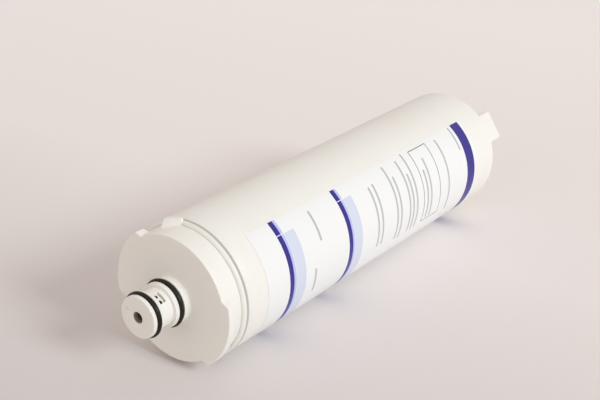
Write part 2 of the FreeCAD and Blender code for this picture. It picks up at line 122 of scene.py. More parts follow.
# Ports in the waist and the gate mark on the nose; each edge is the width over which the surface falls
WINDOW_ANGLE, WINDOW_SPAN, WINDOW_EDGE = 32.5, 37.0, 1.2
WINDOW_ENDS = (WINDOW_ANGLE - WINDOW_SPAN / 2, WINDOW_ANGLE + WINDOW_SPAN / 2)
SLOT = (8.5, 12.3)
SLOT_DEPTH, SLOT_EDGE = 1.6, 0.25
PORT_STATION, PORT_RADIUS, PORT_PITCH = 9.8, 1.4, 3.9
PORT_FLOOR, PORT_EDGE = 5.8, 0.35
GATE_Y, GATE_Z = 6.83, 3.04
GATE_RADIUS, GATE_DEPTH, GATE_EDGE = 1.15, 0.7, 0.2
GATE_BAND = (6.1, 8.5)
GATE_ARC = (284.0, 304.0)

# Plate, skirt, lobes and key lug of the head cap; pairs run along the angle
FACE = 24.25
FACE_RADIUS = 34.9
FLANGE = 36.4
FLANGE_ROOT = 36.1
FLANGE_BEAD = (36.2, 37.7)
BEAD_SHARES = (0.33, 0.66)
PLATE_SLOPE = (FLANGE_ROOT - FACE_RADIUS) / (FLANGE - FACE)
LOBE_RADIUS = 38.45
LOBE_RISE = (74.2, 80.6)
LOBE_FALL = (143.0, 147.0)
LOBE_FLAT = (2.6, 5.7)
LOBE_RUN = (11.6, 6.3)
LOBE_CLEARANCE, LOBE_BACK_LEAST = 0.4, 0.3
LUG_ENDS = (-18.0, -4.0)
LUG_EDGE, LUG_SPLIT = 0.1, 0.12
LUG_RADIUS = 39.65
LUG_FOOT = (30.2, 36.0)
LUG_CREST = (34.0, 37.0)
REGISTER_RADIUS, REGISTER_END = 34.9, 43.7
SKIRT_RADIUS = 32.3
PLATE_BACK = 27.75
SOCKET_RADII = (9.2, 7.0)
SOCKET_FLOOR, SOCKET_END = 32.95, 42.45

# How far the head's edges are cut back to be rounded
CUT_SHARP, CUT_FINE, CUT_STEP, CUT_CREST = 0.1, 0.2, 0.25, 0.3
CUT_COLLAR, CUT_RIM, CUT_TOE, CUT_NOSE = 0.4, 0.45, 0.5, 0.6
CUT_LIMIT, CUT_RUN = 0.3, 1.6

# Rows, columns and angle steps of the surfaces
SHARP_ANGLE = 50.0
POLE_GAP = 0.004
CROWN_ROWS, CORNER_ROWS, TUBE_ROWS, CHAMFER_ROWS = 24, 28, 40, 6
HOUSING_COLUMNS = 224
BAR_CORNER_POINTS, BAR_BEND_ROWS, BAR_SIDE_ROWS = 9, 7, 6
BAR_SIDE_START = 0.15
BAR_CAP_SHARES = (0.97, 0.6, 0.2)
LABEL_ROWS, LABEL_COLUMNS = 24, 161
NOSE_ROWS, WAIST_ROWS, BEND_ROWS = 14, 52, 4
HEAD_STEP, LOBE_STEP, WINDOW_STEP = 1.5, 0.4, 0.75
STEP_MARGIN = 1.0
SEAL_ROWS, SEAL_COLUMNS = 28, 144

# Floor under the lowest point
FLOOR = cad_low.z
FLOOR_REACH = 4000.0


def smooth_step(low, high, values):
    """0 below low, 1 above high, and 3t^2 - 2t^3 of the share t between them."""
    share = np.clip((values - low) / (high - low), 0.0, 1.0)
    return share * share * (3.0 - 2.0 * share)


def fade_out(limit, edge, values):
    """0 above the limit, 1 below it by more than the edge, and a smooth step between them."""
    return smooth_step(-limit, edge - limit, -values)


def blend(first, second, share):
    """The first value at share 0, the second at share 1, and in proportion between them."""
    return first + (second - first) * share


def turned(stations, radii, angles):
    """Grid of points (x, -r sin a, r cos a) from stations x and radii r by row, at angles a by column."""
    turn = np.radians(angles)
    shape = np.broadcast_shapes(np.shape(stations), np.shape(radii), (1, len(angles)))
    x = np.broadcast_to(stations, shape)
    return np.stack([x, -radii * np.sin(turn), radii * np.cos(turn)], axis=-1)


def quads(rows, columns, wrap_rows=False, wrap_columns=True):
    """Quads between neighbouring grid points; a wrapped direction joins its last line to its first."""
    row = np.arange(rows if wrap_rows else rows - 1)
    column = np.arange(columns if wrap_columns else columns - 1)
    row, column = np.meshgrid(row, column, indexing="ij")
    next_row, next_column = (row + 1) % rows, (column + 1) % columns
    corners = [(row, column), (next_row, column), (next_row, next_column), (row, next_column)]
    return np.stack([r * columns + c for r, c in corners], axis=-1).reshape(-1, 4)


def fan(first, columns, pole):
    """Triangles from a pole point to each edge of a closed row of points."""
    column = np.arange(columns)
    return np.stack([np.full(columns, pole), first + (column + 1) % columns, first + column], axis=-1)


def poled(grid):
    """Points and faces of a grid of closed rows, shut by a pole point in the middle of its first and last row."""
    rows, columns, _ = grid.shape
    ends = np.stack([grid[0].mean(axis=0), grid[-1].mean(axis=0)])
    points = np.concatenate([grid.reshape(-1, 3), ends])
    count = rows * columns
    last = fan(count - columns, columns, count + 1)[:, ::-1]
    return points, [quads(rows, columns), fan(0, columns, count), last]


def outward(points, faces):
    """The faces, turned round where the volume they enclose, a sum of corner determinants, is negative."""
    volume = 0.0
    for group in faces:
        for step in range(1, group.shape[1] - 1):
            a, b, c = (points[group[:, corner]] for corner in (0, step, step + 1))
            volume += np.einsum("ij,ij->i", a, np.cross(b, c)).sum()
    return faces if volume > 0 else [group[:, ::-1] for group in faces]


def make_piece(name, points, faces, slot, *nodes):
    """Smooth-shaded mesh in metres that rides on the part and stands for CAD nodes."""
    mesh = bpy.data.meshes.new(name)
    corners = [corner for group in outward(points, faces) for corner in group.tolist()]
    mesh.from_pydata((points * MM).tolist(), [], corners)
    mesh.polygons.foreach_set("use_smooth", np.ones(len(mesh.polygons), dtype=bool))
    mesh.set_sharp_from_angle(angle=math.radians(SHARP_ANGLE))
    piece = bpy.data.objects.new(name, mesh)
    bpy.context.scene.collection.objects.link(piece)
    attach(piece, "root")
    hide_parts(*nodes)
    return piece


def housing_profile(inset):
    """Stations and radii from the end pole to the mouth: crown arc, corner arc, then the straight tube."""
    crown = np.linspace(POLE_GAP, CROWN_ANGLE, CROWN_ROWS)
    corner = np.linspace(CROWN_ANGLE, QUARTER, CORNER_ROWS)[1:]
    tube = np.linspace(SHOULDER, MOUTH + MOUTH_CHAMFER, TUBE_ROWS)[1:]
    ball, edge = CROWN_RADIUS - inset, CORNER_RADIUS - inset
    stations = [CROWN_CENTRE + ball * np.cos(crown), SHOULDER + edge * np.cos(corner), tube]
    straight = np.full(len(tube), BODY_RADIUS - inset)
    radii = [ball * np.sin(crown), CORNER_RING + edge * np.sin(corner), straight]
    return np.concatenate(stations), np.concatenate(radii)


def make_housing_shell():
    """Outer profile, chamfered mouth and inner profile, all turned round the axis."""
    x_out, r_out = housing_profile(0.0)
    x_in, r_in = housing_profile(BODY_WALL)
    chamfer = np.linspace(0.0, 1.0, CHAMFER_ROWS)[1:]
    x_rim = MOUTH + MOUTH_CHAMFER * (1 - chamfer)
    r_rim = BODY_RADIUS - MOUTH_CHAMFER * chamfer
    stations = np.concatenate([x_out, x_rim, [MOUTH], x_in[::-1]])[:, None]
    radii = np.concatenate([r_out, r_rim, [BODY_RADIUS - BODY_WALL], r_in[::-1]])[:, None]
    angles = np.linspace(0.0, FULL_TURN, HOUSING_COLUMNS, endpoint=False)
    points, faces = poled(turned(stations, radii, angles))
    return make_piece("housing_shell", points, faces, "housing_plastic", "housing")


def end_surface(radius):
    """Station of the closed end at a radius: the crown's circle in the middle, the corner's circle outside it."""
    crown = CROWN_CENTRE + np.sqrt(CROWN_RADIUS**2 - radius**2)
    across = radius - CORNER_RING
    corner = SHOULDER + np.sqrt(np.maximum(CORNER_RADIUS**2 - across**2, 0.0))
    return np.where(radius < CROWN_EDGE, crown, corner)


def make_grip_bar():
    """Rounded rectangle carried out of the closed end: foot fillet, straight sides, rounded edge and flat cap."""
    along_arc = np.linspace(0.0, QUARTER, BAR_CORNER_POINTS)
    half = np.array([BAR_WIDTH, BAR_LENGTH]) / 2 - BAR_CORNER
    signs = np.array([(1, 1), (-1, 1), (-1, -1), (1, -1)])
    way = np.arange(len(signs))[:, None] * QUARTER + along_arc
    normal = np.stack([np.cos(way), np.sin(way)], axis=-1)
    loop = ((signs * half)[:, None, :] + BAR_CORNER * normal).reshape(-1, 2)
    normal = normal.reshape(-1, 2)

    bend = np.linspace(0.0, QUARTER, BAR_BEND_ROWS)
    over = bend[1:]
    flare = np.concatenate([[BAR_FILLET], BAR_FILLET * (1 - np.sin(bend))])
    lift = np.concatenate([[-BAR_SINK], BAR_FILLET * (1 - np.cos(bend))])
    offsets = np.concatenate([flare, np.zeros(BAR_SIDE_ROWS), -BAR_ROUND * (1 - np.cos(over))])
    section = loop + offsets[:, None, None] * normal

    top = BAR_END - BAR_ROUND
    foot = end_surface(np.linalg.norm(section[:len(lift)], axis=-1)) + lift[:, None]
    side = blend(foot[-1], top, np.linspace(BAR_SIDE_START, 1.0, BAR_SIDE_ROWS)[:, None])
    edge = np.tile((top + BAR_ROUND * np.sin(over))[:, None], len(loop))
    cap = np.full((len(BAR_CAP_SHARES), len(loop)), BAR_END)
    heights = np.concatenate([foot, side, edge, cap])
    section = np.concatenate([section, section[-1] * np.array(BAR_CAP_SHARES)[:, None, None]])

    turn = math.radians(BAR_ANGLE)
    across, reach = section[..., 0], section[..., 1]
    y = across * math.cos(turn) - reach * math.sin(turn)
    z = across * math.sin(turn) + reach * math.cos(turn)
    points, faces = poled(np.stack([heights, y, z], axis=-1))
    return make_piece("grip_bar", points, faces, "housing_plastic", "housing")


def make_label():
    """Thin sheet bent round the axis: outer and inner surface over the same stations, shut all round."""
    x = np.linspace(LABEL_LOW[0], LABEL_HIGH[0], LABEL_ROWS)
    stations = np.concatenate([x, x[::-1]])[:, None]
    radii = np.repeat([LABEL_RADIUS, LABEL_RADIUS - LABEL_THICKNESS], len(x))[:, None]
    angles = LABEL_START + np.linspace(0.0, LABEL_SPAN, LABEL_COLUMNS)
    grid = turned(stations, radii, angles)
    rows, columns, _ = grid.shape
    faces = [quads(rows, columns, wrap_rows=True, wrap_columns=False)]
    outer = np.arange(len(x) - 1)
    ends = np.stack([outer, outer + 1, rows - 2 - outer, rows - 1 - outer], axis=-1) * columns
    for column, step in ((0, 1), (columns - 1, -1)):
        faces.append((ends + column)[:, ::step])
    return make_piece("printed_label", grid.reshape(-1, 3), faces, "label_print", "label_film")


def head_angles():
    """Angles round the head: even steps, and closer ones at the lobe ends, port windows, lug ends and gate mark."""
    half_turn = [np.arange(0.0, HALF_TURN, HEAD_STEP)]
    for ends, step in ((LOBE_RISE, LOBE_STEP), (LOBE_FALL, LOBE_STEP), (WINDOW_ENDS, WINDOW_STEP)):
        half_turn.append(np.arange(ends[0] - STEP_MARGIN, ends[1] + STEP_MARGIN, step))
    half_turn = np.concatenate(half_turn)
    lug = np.array(LUG_ENDS)[:, None] + np.array([-LUG_SPLIT, 0.0, LUG_SPLIT])
    gate = np.arange(*GATE_ARC, WINDOW_STEP)
    angles = np.concatenate([half_turn, half_turn + HALF_TURN, lug.ravel() % FULL_TURN, gate])
    return np.unique(np.round(angles, 3))


def carried(chain, angles):
    """Chain of corners as arrays of part by corner and angle; a part is one number or a value for each angle."""
    level = np.zeros_like(angles)
    return np.array([[part + level for part in corner] for corner in chain]).swapaxes(0, 1)


def rounded(x, r, cut):
    """Rows along a chain of corners: each inner corner is a parabola between points cut back along its two edges."""
    corner = np.stack([x, r], axis=-1)
    edge = np.diff(corner, axis=0)
    length = np.linalg.norm(edge, axis=-1, keepdims=True)
    way = edge / np.maximum(length, 1e-9)
    back = np.minimum(cut[1:-1, ..., None], CUT_LIMIT * np.minimum(length[:-1], length[1:]))
    middle = corner[1:-1]
    before, after = middle - back * way[:-1], middle + back * way[1:]
    share = np.linspace(0.0, 1.0, BEND_ROWS)[:, None, None, None]
    bend = (1 - share)**2 * before + 2 * share * (1 - share) * middle + share**2 * after
    ends = [middle - CUT_RUN * back * way[:-1], *bend, middle + CUT_RUN * back * way[1:]]
    return np.stack(ends, axis=1).reshape(-1, *corner.shape[1:])


def waist_rows(angles):
    """Waist between the seal lands: a radius lowered in the slots, and sunk to the port floor inside each port."""
    x = np.linspace(WAIST[0] + WAIST_MARGIN, WAIST[1] - WAIST_MARGIN, WAIST_ROWS)[:, None]
    off = (angles - WINDOW_ANGLE + HALF_TURN / 2) % HALF_TURN - HALF_TURN / 2
    slot = smooth_step(SLOT[0], SLOT[0] + SLOT_EDGE, x) * fade_out(SLOT[1], SLOT_EDGE, x)
    slot = slot * fade_out(WINDOW_SPAN / 2, WINDOW_EDGE, np.abs(off))
    radius = WAIST_RADIUS - SLOT_DEPTH * slot
    across = np.abs(radius * np.sin(np.radians(off))) - PORT_PITCH / 2
    port = fade_out(PORT_RADIUS, PORT_EDGE, np.hypot(across, x - PORT_STATION))
    radius = blend(radius, PORT_FLOOR, port * slot)
    return np.stack([np.broadcast_to(x, radius.shape), radius], axis=-1)


def nose_rows(angles):
    """Nose face with the gate mark: a small depth wherever the distance from the mark's middle is short."""
    radius = np.linspace(*GATE_BAND, NOSE_ROWS)[:, None]
    turn = np.radians(angles)
    distance = np.hypot(-radius * np.sin(turn) - GATE_Y, radius * np.cos(turn) - GATE_Z)
    x = GATE_DEPTH * fade_out(GATE_RADIUS, GATE_EDGE, distance)
    return np.stack([x, np.broadcast_to(radius, x.shape)], axis=-1)


def plate_radius(depth):
    """Radius of the plate's tapered side at a depth behind its face."""
    return FACE_RADIUS + PLATE_SLOPE * depth


def make_head():
    """Meridian outline whose lobe, lug and waist stations change with the angle, carried round the axis."""
    angles = head_angles()
    signed = (angles + HALF_TURN) % FULL_TURN - HALF_TURN
    lug = smooth_step(LUG_ENDS[0] - LUG_EDGE, LUG_ENDS[0] + LUG_EDGE, signed)
    lug = lug * fade_out(LUG_ENDS[1] + LUG_EDGE, 2 * LUG_EDGE, signed)
    lug_foot = blend(FLANGE_BEAD[0], np.interp(signed, LUG_ENDS, LUG_FOOT), lug)
    lug_crest = blend(FLANGE_BEAD[1], np.interp(signed, LUG_ENDS, LUG_CREST), lug)
    top = blend(BODY_RADIUS, LUG_RADIUS, lug)
    root = plate_radius(lug_foot - FACE)
    bead = []
    for share in BEAD_SHARES:
        back = blend(1 - math.cos(share * QUARTER), share, lug)
        rise = blend(math.sin(share * QUARTER), share, lug)
        bead.append((blend(lug_foot, lug_crest, back), blend(root, top, rise), CUT_CREST))

    turn = (angles - LOBE_RISE[0]) % HALF_TURN + LOBE_RISE[0]
    height = smooth_step(*LOBE_RISE, turn) * np.interp(turn, LOBE_FALL, [1.0, 0.0])
    along = np.interp(turn, [LOBE_RISE[1], LOBE_FALL[0]], [0.0, 1.0])
    run = np.minimum(blend(*LOBE_RUN, along), lug_foot - FACE - LOBE_CLEARANCE)
    flat = np.minimum(blend(*LOBE_FLAT, along), run - LOBE_BACK_LEAST)
    rim = blend(FACE_RADIUS, LOBE_RADIUS, height)
    crest = blend(plate_radius(flat), LOBE_RADIUS, height)

    front_floor, rear_floor = NOSE_RADIUS - GROOVE_DEPTH, REAR_LAND_RADIUS - GROOVE_DEPTH
    neck = [
        (0.0, NOSE_FLAT, CUT_SHARP),
        (0.0, NOSE_RADIUS, CUT_NOSE),
        (FRONT_GROOVE[0], NOSE_RADIUS, CUT_FINE),
        (FRONT_GROOVE[0], front_floor, CUT_SHARP),
        (FRONT_GROOVE[1], front_floor, CUT_SHARP),
        (FRONT_GROOVE[1], NOSE_RADIUS, CUT_FINE),
        (WAIST[0], NOSE_RADIUS, CUT_STEP),
        (WAIST[0], WAIST_RADIUS, CUT_STEP),
        (WAIST[0] + WAIST_MARGIN, WAIST_RADIUS, CUT_SHARP),
    ]
    plate = [
        (WAIST[1] - WAIST_MARGIN, WAIST_RADIUS, CUT_SHARP),
        (WAIST[1], WAIST_RADIUS, CUT_STEP),
        (WAIST[1], REAR_LAND_RADIUS, CUT_STEP),
        (REAR_GROOVE[0], REAR_LAND_RADIUS, CUT_FINE),
        (REAR_GROOVE[0], rear_floor, CUT_SHARP),
        (REAR_GROOVE[1], rear_floor, CUT_SHARP),
        (REAR_GROOVE[1], COLLAR_RADIUS, CUT_STEP),
        (FACE, COLLAR_RADIUS, CUT_COLLAR),
        (FACE, rim, CUT_RIM),
        (FACE + flat, crest, CUT_RIM),
        (FACE + run, plate_radius(run), CUT_TOE),
        (lug_foot, root, CUT_FINE),
        *bead,
        (lug_crest, top, CUT_CREST),
        (MOUTH, top, CUT_RIM),
        (MOUTH, REGISTER_RADIUS, CUT_SHARP),
    ]
    hidden = [
        (MOUTH, REGISTER_RADIUS),
        (REGISTER_END, REGISTER_RADIUS),
        (REGISTER_END, SKIRT_RADIUS),
        (PLATE_BACK, SKIRT_RADIUS),
        (PLATE_BACK, SOCKET_RADII[0]),
        (SOCKET_END, SOCKET_RADII[0]),
        (SOCKET_END, SOCKET_RADII[1]),
        (SOCKET_FLOOR, SOCKET_RADII[1]),
        (SOCKET_FLOOR, PASSAGE_RADIUS),
        (OUTLET_LIP, PASSAGE_RADIUS),
        (OUTLET_LIP, OUTLET_RADIUS),
        (LIP_ROUND, OUTLET_RADIUS),
        (LIP_MIDDLE, OUTLET_RADIUS + LIP_MIDDLE),
        (0.0, OUTLET_RADIUS + LIP_ROUND),
    ]
    outline = np.concatenate([
        nose_rows(angles),
        rounded(*carried(neck, angles)),
        waist_rows(angles),
        rounded(*carried(plate, angles)),
        np.stack(carried(hidden, angles), axis=-1),
    ])
    grid = turned(outline[..., 0], outline[..., 1], angles)
    faces = [quads(*grid.shape[:2], wrap_rows=True)]
    return make_piece("head", grid.reshape(-1, 3), faces, "head_plastic", "head_cap")


def make_seal(node):
    """Torus: a circle of the node's half width carried round the axis."""
    low, high = box_mm(node)
    section = (high[0] - low[0]) / 2
    round_section = np.linspace(0.0, 2 * math.pi, SEAL_ROWS, endpoint=False)
    stations = ((low[0] + high[0]) / 2 + section * np.cos(round_section))[:, None]
    radii = (high[1] - section + section * np.sin(round_section))[:, None]
    grid = turned(stations, radii, np.linspace(0.0, FULL_TURN, SEAL_COLUMNS, endpoint=False))
    faces = [quads(*grid.shape[:2], wrap_rows=True)]
    return make_piece(node.replace("o_ring", "seal"), grid.reshape(-1, 3), faces, "seal_rubber", node)


def add(tree, kind, settings=(), inputs=()):
    """Shader node with its settings; an input takes a value, or a link where a socket is given."""
    node = tree.nodes.new(kind)
    for name, value in dict(settings).items():
        setattr(node, name, value)
    for key, value in dict(inputs).items():
        if isinstance(value, bpy.types.NodeSocket):
            tree.links.new(value, node.inputs[key])
        else:
            node.inputs[key].default_value = value
    return node


def feed(tree, node, sockets):
    """Link sockets to a node's named inputs."""
    for label, socket in sockets.items():
        tree.links.new(socket, node.inputs[label])


def calc(tree, operation, *values):
    """Output of a Math node."""
    return add(tree, "ShaderNodeMath", {"operation": operation}, dict(enumerate(values))).outputs[0]


def product(tree, first, *others):
    """Product of values, by one Math node for each further value."""
    for other in others:
        first = calc(tree, "MULTIPLY", first, other)
    return first


def mixed(tree, share, first, second, blend_type="MIX"):
    """Colour output of a Mix node, whose colour sockets are its inputs 6 and 7 and its output 2."""
    settings = {"data_type": "RGBA", "blend_type": blend_type}
    return add(tree, "ShaderNodeMix", settings, {0: share, 6: first, 7: second}).outputs[2]


def ramp(tree, value, low, high, to_low=0.0, to_high=1.0):
    """Clamped linear map of a value from low..high to to_low..to_high."""
    inputs = {0: value, 1: low, 2: high, 3: to_low, 4: to_high}
    return add(tree, "ShaderNodeMapRange", {}, inputs).outputs[0]


def object_place(tree):
    """Object coordinates."""
    return add(tree, "ShaderNodeTexCoord").outputs["Object"]


def noise(tree, place, scale, detail=3.0, roughness=0.5):
    """Value output of a Noise texture."""
    inputs = {"Vector": place, "Scale": scale, "Detail": detail, "Roughness": roughness}
    return add(tree, "ShaderNodeTexNoise", {}, inputs).outputs["Fac"]


def bumped(tree, height, strength, depth):
    """Normal output of a Bump node; the depth is in millimetres."""
    inputs = {"Strength": strength, "Distance": depth * MM, "Height": height}
    return add(tree, "ShaderNodeBump", {}, inputs).outputs[0]


def new_group(name, inputs, outputs):
    """Empty shader node group with named sockets; returns its tree, inputs node and outputs node."""
    tree = bpy.data.node_groups.new(name, "ShaderNodeTree")
    for kind, sockets in (("INPUT", inputs), ("OUTPUT", outputs)):
        for label, socket in sockets.items():
            tree.interface.new_socket(label, in_out=kind, socket_type=f"NodeSocket{socket}")
    return tree, tree.nodes.new("NodeGroupInput"), tree.nodes.new("NodeGroupOutput")


def new_material(name, **plain):
    """Principled material; plain values go straight on the shader's own sockets."""
    material = bpy.data.materials.new(name)
    material.use_nodes = True
    tree = material.node_tree
    shader = tree.nodes["Principled BSDF"]
    for label, value in plain.items():
        shader.inputs[label.replace("_", " ")].default_value = value
    return material, tree, shader


# Marks in the moulded plastic
SPECK_BROWN = (0.30, 0.24, 0.18, 1.0)
SPECK_CELLS, SPECK_SIZE, SPECK_CHANCE, SPECK_SHARE = 260.0, 0.09, 0.93, 0.18
CLOUD_SHARE, CLOUD_ROUGHNESS = 0.5, 0.08
SCUFF_STRETCH = (40.0, 900.0, 900.0)
SCUFF_ROUGHNESS, SCUFF_DEPTH = 0.12, 0.5


def make_moulding_group():
    """Moulded plastic: broad clouding and small specks in the colour, fine grain and faint drawn scuffs."""
    inputs = {"Colour": "Color", "Deep colour": "Color", "Roughness": "Float", "Grain": "Float"}
    outputs = {"Colour": "Color", "Roughness": "Float", "Height": "Float"}
    tree, given, result = new_group("moulded_plastic", inputs, outputs)
    place = object_place(tree)
    cloud = ramp(tree, noise(tree, place, scale=28.0, detail=4.0, roughness=0.55), low=0.35, high=0.75)

    drawn = add(tree, "ShaderNodeMapping", {}, {"Vector": place, "Scale": SCUFF_STRETCH}).outputs[0]
    streak = ramp(tree, noise(tree, drawn, scale=1.0, detail=2.0), low=0.68, high=0.78)
    patch = ramp(tree, noise(tree, place, scale=45.0, detail=2.0), low=0.5, high=0.7)
    scuff = product(tree, streak, patch)

    cells = add(tree, "ShaderNodeTexVoronoi", {}, {"Vector": place, "Scale": SPECK_CELLS})
    chance = add(tree, "ShaderNodeSeparateColor", {}, {0: cells.outputs["Color"]}).outputs[0]
    near = calc(tree, "LESS_THAN", cells.outputs["Distance"], SPECK_SIZE)
    speck = product(tree, near, calc(tree, "GREATER_THAN", chance, SPECK_CHANCE))

    clouding = product(tree, cloud, CLOUD_SHARE)
    clouded = mixed(tree, clouding, given.outputs["Colour"], given.outputs["Deep colour"])
    rough = calc(tree, "ADD", given.outputs["Roughness"], product(tree, cloud, CLOUD_ROUGHNESS))
    grain = product(tree, noise(tree, place, scale=2600.0, detail=2.0), given.outputs["Grain"])
    feed(tree, result, {
        "Colour": mixed(tree, product(tree, speck, SPECK_SHARE), clouded, SPECK_BROWN),
        "Roughness": calc(tree, "ADD", rough, product(tree, scuff, SCUFF_ROUGHNESS)),
        "Height": calc(tree, "SUBTRACT", grain, product(tree, scuff, SCUFF_DEPTH)),
    })
    return tree


FIELD_INPUTS = ("Station", "Place", "From", "To", "Start", "End")


def make_field_group():
    """Field: 1 where a station lies between two limits and a second place between two others, 0 elsewhere."""
    tree, given, result = new_group("field", {label: "Float" for label in FIELD_INPUTS}, {"Mask": "Float"})
    limits = (("GREATER_THAN", "Station", "From"), ("LESS_THAN", "Station", "To"),
              ("GREATER_THAN", "Place", "Start"), ("LESS_THAN", "Place", "End"))
    inside = [calc(tree, how, given.outputs[what], given.outputs[limit]) for how, what, limit in limits]
    feed(tree, result, {"Mask": product(tree, *inside)})
    return tree


def field_mask(tree, group, *values):
    """Mask of the field group for a station, a second place and their limits."""
    inputs = dict(zip(FIELD_INPUTS, values))
    return add(tree, "ShaderNodeGroup", {"node_tree": group}, inputs).outputs["Mask"]


def axis_place(tree, place):
    """Station along the axis, angle round it and distance from it, in millimetres and degrees."""
    x, y, z = add(tree, "ShaderNodeSeparateXYZ", {}, {0: place}).outputs
    station = product(tree, x, 1.0 / MM)
    turn = calc(tree, "DEGREES", calc(tree, "ARCTAN2", product(tree, y, -1.0), z))
    square = calc(tree, "ADD", product(tree, y, y), product(tree, z, z))
    distance = product(tree, calc(tree, "SQRT", square), 1.0 / MM)
    return station, calc(tree, "WRAP", turn, FULL_TURN, 0.0), distance


# Light that goes into the plastic, and the strength of its grain
SUBSURFACE_RADIUS = (0.004, 0.003, 0.002)
GRAIN_STRENGTH = 0.25


def plastic(name, groups, colours, roughness, grain, depth, subsurface=0.0, painted_shades=()):
    """Moulded plastic finish, with painted shade of a colour and share laid between stations and distances from the
    axis.
    """
    moulding, fields = groups
    colour, deep = colours
    material, tree, shader = new_material(
        name, Subsurface_Weight=subsurface, Subsurface_Radius=SUBSURFACE_RADIUS, Subsurface_Scale=1.0)
    values = {"Colour": colour, "Deep colour": deep, "Roughness": roughness, "Grain": grain}
    skin = add(tree, "ShaderNodeGroup", {"node_tree": moulding}, values).outputs
    shade = skin["Colour"]
    if painted_shades:
        station, _, distance = axis_place(tree, object_place(tree))
    # painted shade: each entry darkens the colour where shade falls in a joint, crease or hollow
    for painted_shade_colour, share, *limits in painted_shades:
        mask = field_mask(tree, fields, station, distance, *limits)
        shade = mixed(tree, product(tree, mask, share), shade, painted_shade_colour)
    normal = bumped(tree, skin["Height"], GRAIN_STRENGTH, depth)
    feed(tree, shader, {"Base Color": shade, "Roughness": skin["Roughness"], "Normal": normal})
    return material


RUBBER_BLACK = (0.010, 0.0075, 0.004, 1.0)
GREASED_BLACK = (0.020, 0.016, 0.0095, 1.0)
FLECK_GREY = (0.35, 0.33, 0.30, 1.0)
FLECK_SHARE = 0.25


def rubber(name):
    """Black rubber with a thin uneven film of grease and a few pale dust flecks."""
    material, tree, shader = new_material(name, Specular_IOR_Level=0.25)
    place = object_place(tree)
    film = ramp(tree, noise(tree, place, scale=160.0), low=0.35, high=0.7)
    fleck = ramp(tree, noise(tree, place, scale=1500.0, detail=2.0, roughness=0.7), low=0.66, high=0.72)
    colour = mixed(tree, film, RUBBER_BLACK, GREASED_BLACK)
    feed(tree, shader, {
        "Base Color": mixed(tree, product(tree, fleck, FLECK_SHARE), colour, FLECK_GREY),
        "Roughness": ramp(tree, film, 0.0, 1.0, to_low=0.20, to_high=0.40),
        "Normal": bumped(tree, fleck, strength=0.2, depth=0.1),
    })
    return material


# Print on the label: each field has its colour, two stations and two angles, and a later one covers an earlier one
DARK_BLUE = (0.018, 0.011, 0.255, 1.0)
STRIP_BLUE = (0.55, 0.58, 0.93, 1.0)
PALE_BLUE = (0.70, 0.75, 0.89, 1.0)
FILM_WHITE = (0.93, 0.94, 0.94, 1.0)
FILM_SHADE = (0.89, 0.90, 0.915, 1.0)
FILM_SHADE_SHARE = 0.3
RULE_GREY = (0.52, 0.53, 0.56, 1.0)
LINE_GREY = (0.20, 0.21, 0.25, 1.0)
PRINTED_FIELDS = [
    (DARK_BLUE, 73.2, 76.7, 37.0, LABEL_END),
    (STRIP_BLUE, 76.7, 78.6, 37.0, LABEL_END),
    (PALE_BLUE, 78.9, 87.0, 50.3, 150.0),
    (FILM_WHITE, 72.5, 79.0, 49.7, 50.3),
    (DARK_BLUE, 126.8, 130.3, 38.0, LABEL_END),
    (STRIP_BLUE, 130.3, 132.1, 38.0, LABEL_END),
    (PALE_BLUE, 132.4, 139.8, 49.3, 150.0),
    (FILM_WHITE, 126.0, 132.4, 48.7, 49.3),
    (LINE_GREY, 205.2, 224.4, 40.0, 111.0),
    (FILM_WHITE, 205.8, 223.8, 40.9, 110.1),
    (DARK_BLUE, 257.4, 266.4, LABEL_START, LABEL_END),
]

# Thin plain rules, each with its middle station and two angles
RULE_WIDTH = 1.6
RULES = [
    (95.6, 90.0, 112.0), (103.3, 44.0, 70.0), (156.2, 51.0, 107.0), (160.6, 50.0, 107.0),
    (176.2, 41.0, 112.0), (180.3, 53.0, 113.0), (189.8, 42.0, 112.0), (193.6, 57.0, 112.0),
    (197.8, 38.5, 112.0), (209.8, 61.0, 108.0), (213.9, 51.0, 108.0), (234.6, 42.0, 114.0),
    (253.8, 38.0, 62.0),
]
PRINTED_FIELDS += [
    (RULE_GREY, x - RULE_WIDTH / 2, x + RULE_WIDTH / 2, start, end) for x, start, end in RULES
]


def printed_film(name, fields):
    """White gloss film with fields of colour laid out by station and angle, and rows of thin plain rules."""
    material, tree, shader = new_material(name, Coat_Weight=0.06, Coat_Roughness=0.25)
    place = object_place(tree)
    station, angle, _ = axis_place(tree, place)
    cloud = noise(tree, place, scale=60.0)
    colour = mixed(tree, product(tree, cloud, FILM_SHADE_SHARE), FILM_WHITE, FILM_SHADE)
    for ink, *limits in PRINTED_FIELDS:
        colour = mixed(tree, field_mask(tree, fields, station, angle, *limits), colour, ink)
    ripple = noise(tree, place, scale=90.0, detail=2.0)
    feed(tree, shader, {
        "Base Color": colour,
        "Roughness": ramp(tree, cloud, low=0.3, high=0.7, to_low=0.30, to_high=0.42),
        "Normal": bumped(tree, ripple, strength=0.15, depth=0.2),
    })
    return material


def porous(name, dark, light, scale, depth, **plain):
    """Grainy finish of the filter element's inner pieces."""
    material, tree, shader = new_material(name, **plain)
    grain = noise(tree, object_place(tree), scale, detail=4.0, roughness=0.6)
    feed(tree, shader, {
        "Base Color": mixed(tree, grain, dark, light),
        "Roughness": ramp(tree, grain, low=0.3, high=0.7, to_low=0.6, to_high=0.9),
        "Normal": bumped(tree, grain, strength=0.5, depth=depth),
    })
    return material


PAPER_COLOURS = ((0.95, 0.90, 0.895, 1.0), (0.97, 0.92, 0.915, 1.0))
# colour of the floor's painted glow
PAINTED_FLOOR_GLOW = (1.0, 0.93, 0.92, 1.0)


